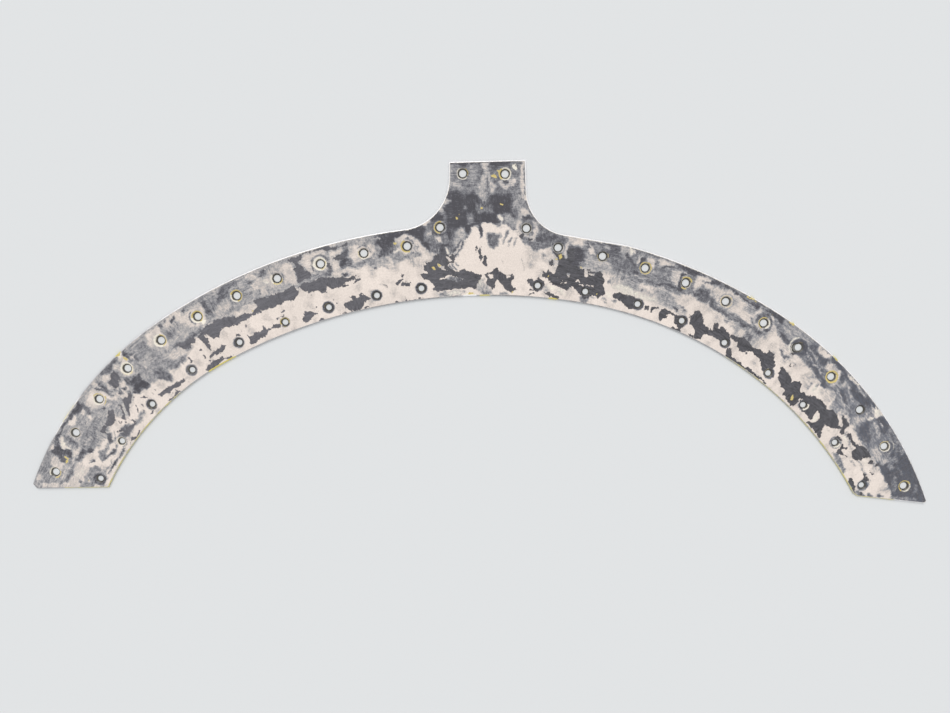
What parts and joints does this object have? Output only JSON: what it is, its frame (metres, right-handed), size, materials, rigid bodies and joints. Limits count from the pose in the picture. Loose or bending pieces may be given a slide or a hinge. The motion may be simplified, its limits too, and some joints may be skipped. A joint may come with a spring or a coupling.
{
  "type": "windshield retainer",
  "caption": "Flat arched strip of painted sheet metal with a short stem at its crown and rows of countersunk screw holes, chipped and worn.",
  "frame": {"origin": "midway between the two screw holes in the stem, on the back face", "axes": "+X to the right foot, seen from the painted face; +Y up the stem, away from the feet; +Z out of the painted face"},
  "size_m": [0.6093, 0.2253, 0.0016],
  "materials": {
    "painted_sheet": "chipped grey and cream paint over primer on sheet aluminium"
  },
  "bodies": {
    "root": {"windshield_retainer": "painted_sheet"}
  },
  "joints": []
}
